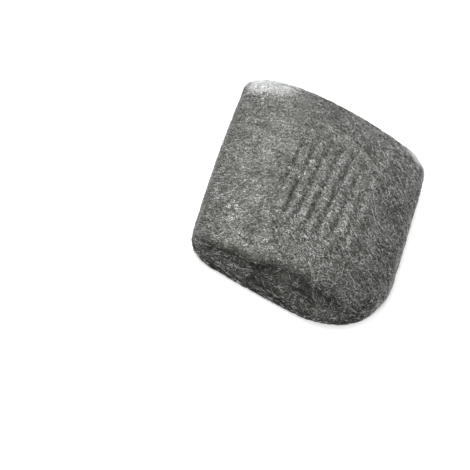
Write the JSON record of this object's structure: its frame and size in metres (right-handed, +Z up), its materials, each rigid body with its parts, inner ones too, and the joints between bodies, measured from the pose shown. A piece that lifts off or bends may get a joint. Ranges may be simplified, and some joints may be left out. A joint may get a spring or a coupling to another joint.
{
  "type": "steel wool pad",
  "caption": "Folded steel wool pad: a soft grey cushion of fine steel strands, rounded at its folds, with crimp ridges across the strands on top.",
  "frame": {"origin": "under the middle of the pad, on the flat underside that it rests on", "axes": "+X along the strands, from the thin folded end to the thick one; +Y across the ribbon, from the near edge to the far one; +Z up"},
  "size_m": [0.0996, 0.1082, 0.021],
  "materials": {
    "steel_strands": "fine matted steel strands, semi-matt with glints"
  },
  "bodies": {
    "root": {"steel_wool_pad": "steel_strands"}
  },
  "joints": []
}
